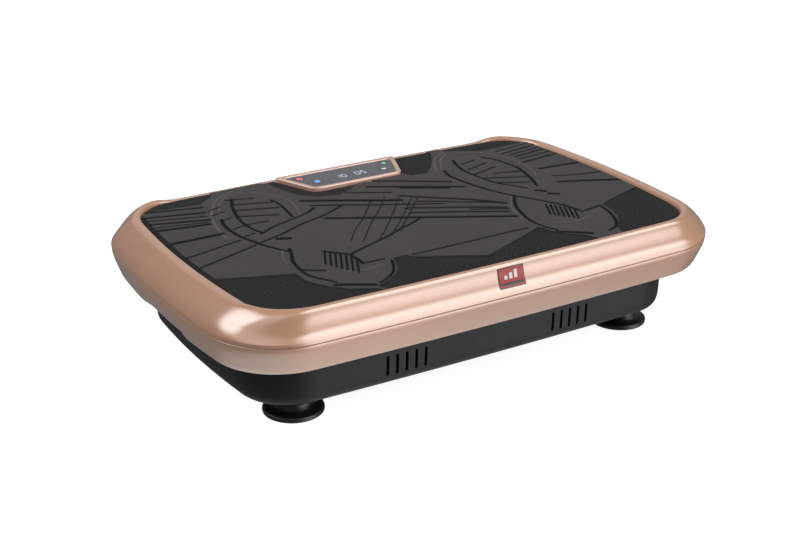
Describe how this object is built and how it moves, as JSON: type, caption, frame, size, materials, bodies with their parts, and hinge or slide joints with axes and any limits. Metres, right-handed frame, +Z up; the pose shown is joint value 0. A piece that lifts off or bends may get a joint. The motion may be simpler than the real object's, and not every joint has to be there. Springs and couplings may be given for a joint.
{
  "type": "vibration plate",
  "caption": "Low rounded rocking vibration platform with a relief rubber mat, a recessed display and keys, a rose-gold shell, a dark vented base and soft cup feet.",
  "frame": {"origin": "middle of the footprint, on the floor under the feet", "axes": "+X along the length, to the right seen from the badge side; +Y towards the display edge; +Z up"},
  "size_m": [0.66, 0.4218, 0.1505],
  "materials": {
    "rose_gold": "metallic rose-gold paint on moulded plastic",
    "rose_gold_trim": "metallic rose-gold paint, bevelled frame",
    "mat_rubber": "moulded relief rubber",
    "tray_plastic": "fine textured black plastic",
    "foot_rubber": "soft black rubber",
    "display_pane": "smoked gloss pane with printed symbols",
    "led_module": "digit module",
    "key_caps": null,
    "badge_red": "gloss red plate",
    "circuit_board": "solder mask",
    "deck_steel": "black powder coat",
    "chassis_steel": "zinc plated sheet",
    "cast_blocks": "painted casting",
    "shaft_steel": "ground",
    "bronze": "sintered bronze",
    "fasteners": "zinc plated",
    "alloy": "machined",
    "belt_rubber": "ribbed belt",
    "motor_paint": "satin black",
    "ferrite": "sintered ferrite",
    "laminations": "stacked laminations",
    "copper": "copper segments",
    "carbon": "pressed carbon",
    "capacitor_sleeve": "shrink sleeve",
    "connector_plastic": "moulded",
    "pin_metal": "nickel plated",
    "rocker_red": "translucent red paddle",
    "lead_sheath": "flexible sheath",
    "motor_lead_sheath": "flexible sheath"
  },
  "bodies": {
    "base": {"base_tray": "tray_plastic", "chassis_plate": "chassis_steel", "foot_front_left": "foot_rubber", "foot_front_right": "foot_rubber", "foot_rear_left": "foot_rubber", "foot_rear_right": "foot_rubber", "foot_screws": "fasteners", "pivot_blocks": "cast_blocks", "pivot_bushes": "bronze", "drive_blocks": "cast_blocks", "drive_outer_rings": "shaft_steel", "drive_balls": "shaft_steel", "drive_belt": "belt_rubber", "motor_can": "motor_paint", "motor_end_caps": "alloy", "motor_magnets": "ferrite", "motor_brushes": "carbon", "motor_bracket": "chassis_steel", "motor_clamps": "chassis_steel", "control_board": "circuit_board", "heatsink": "alloy", "capacitors": "capacitor_sleeve", "transformer": "laminations", "mains_inlet": "connector_plastic", "inlet_pins": "pin_metal", "fuse_holder": "connector_plastic", "switch_housing": "connector_plastic", "mains_lead": "lead_sheath", "motor_lead": "motor_lead_sheath"},
    "deck": {"top_shell": "rose_gold", "lower_rim": "rose_gold", "mat": "mat_rubber", "display_bezel": "rose_gold_trim", "display_window": "display_pane", "display_board": "circuit_board", "display_digits": "led_module", "badge": "badge_red", "deck_plate": "deck_steel", "deck_rails": "deck_steel", "deck_screws": "fasteners", "rim_screws": "fasteners", "pivot_brackets": "deck_steel", "pivot_shaft": "shaft_steel", "pivot_circlips": "shaft_steel", "conrod_clevis": "deck_steel", "clevis_pin": "shaft_steel"},
    "drive_shaft": {"eccentric_shaft": "shaft_steel", "drive_pulley": "alloy", "drive_inner_rings": "shaft_steel"},
    "motor_rotor": {"motor_shaft": "shaft_steel", "armature": "laminations", "commutator": "copper", "motor_pulley": "alloy"},
    "connecting_rod": {"conrod": "alloy", "big_end_bush": "bronze"},
    "rocker": {"power_rocker": "rocker_red"},
    "power_button": {"power_key": "key_caps"},
    "mode_button": {"mode_key": "key_caps"},
    "faster_button": {"faster_key": "key_caps"},
    "slower_button": {"slower_key": "key_caps"}
  },
  "joints": [
    {"name": "deck_rock", "type": "hinge", "parent": "base", "child": "deck", "pos_m": [0, 0, 0.072], "axis": [0, 1, 0], "range_deg": [-1.2, 1.2]},
    {"name": "drive_spin", "type": "hinge", "parent": "base", "child": "drive_shaft", "pos_m": [0.115, 0, 0.07], "axis": [0, 1, 0], "continuous": true},
    {"name": "motor_spin", "type": "hinge", "parent": "base", "child": "motor_rotor", "pos_m": [0.215, 0, 0.07], "axis": [0, 1, 0], "continuous": true},
    {"name": "rod_turn", "type": "hinge", "parent": "drive_shaft", "child": "connecting_rod", "pos_m": [0.1175, 0, 0.07], "axis": [0, 1, 0], "continuous": true},
    {"name": "rocker_tilt", "type": "hinge", "parent": "base", "child": "rocker", "pos_m": [0.192, 0.1655, 0.062], "axis": [-1, 0, 0], "range_deg": [0, 20]},
    {"name": "power_press", "type": "slide", "parent": "deck", "child": "power_button", "axis": [0, 0, -1], "range_m": [0, 0.0006], "stiffness_N_per_m": 800, "springref_m": -0.0008},
    {"name": "mode_press", "type": "slide", "parent": "deck", "child": "mode_button", "axis": [0, 0, -1], "range_m": [0, 0.0006], "stiffness_N_per_m": 800, "springref_m": -0.0008},
    {"name": "faster_press", "type": "slide", "parent": "deck", "child": "faster_button", "axis": [0, 0, -1], "range_m": [0, 0.0006], "stiffness_N_per_m": 800, "springref_m": -0.0008},
    {"name": "slower_press", "type": "slide", "parent": "deck", "child": "slower_button", "axis": [0, 0, -1], "range_m": [0, 0.0006], "stiffness_N_per_m": 800, "springref_m": -0.0008}
  ],
  "couplings": [
    {"joint": "motor_spin", "follows": "drive_spin", "ratio": 3},
    {"joint": "rod_turn", "follows": "drive_spin", "ratio": -1}
  ]
}
